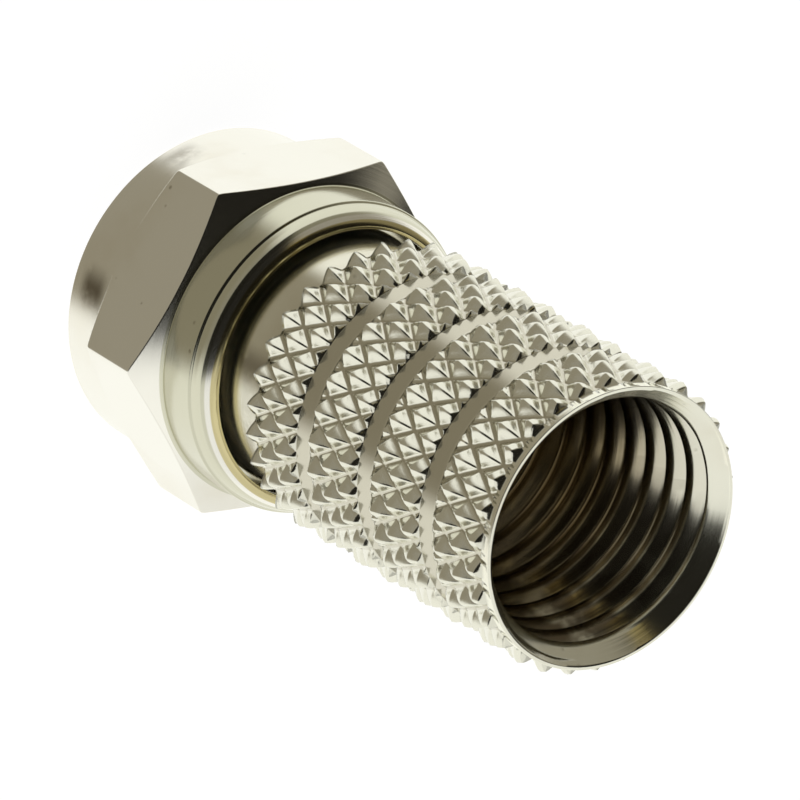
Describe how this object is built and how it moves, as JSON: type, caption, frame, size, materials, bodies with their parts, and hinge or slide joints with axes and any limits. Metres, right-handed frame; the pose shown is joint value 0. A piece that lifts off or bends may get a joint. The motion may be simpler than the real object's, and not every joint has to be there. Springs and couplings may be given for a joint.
{
  "type": "f connector",
  "caption": "Twist-on coaxial connector: a hexagonal coupling nut turns freely on a barrel with knurled bands and a coarse thread inside for the cable.",
  "frame": {"origin": "centre of the coupling nut's open front face, on the surface that the part stands on", "axes": "+Z along the axis from the nut towards the cable end; two of the hexagon's corners lie on the X axis"},
  "size_m": [0.0128, 0.011, 0.0219],
  "materials": {
    "nickel_plate_nut": "bright nickel plating on turned brass",
    "nickel_plate_barrel": "bright nickel plating on turned and knurled brass"
  },
  "bodies": {
    "barrel": {"barrel": "nickel_plate_barrel"},
    "coupling_nut": {"coupling_nut": "nickel_plate_nut"}
  },
  "joints": [
    {"name": "nut_spin", "type": "hinge", "parent": "barrel", "child": "coupling_nut", "pos_m": [0, 0, 0.006], "axis": [0, 0, 1], "continuous": true}
  ]
}
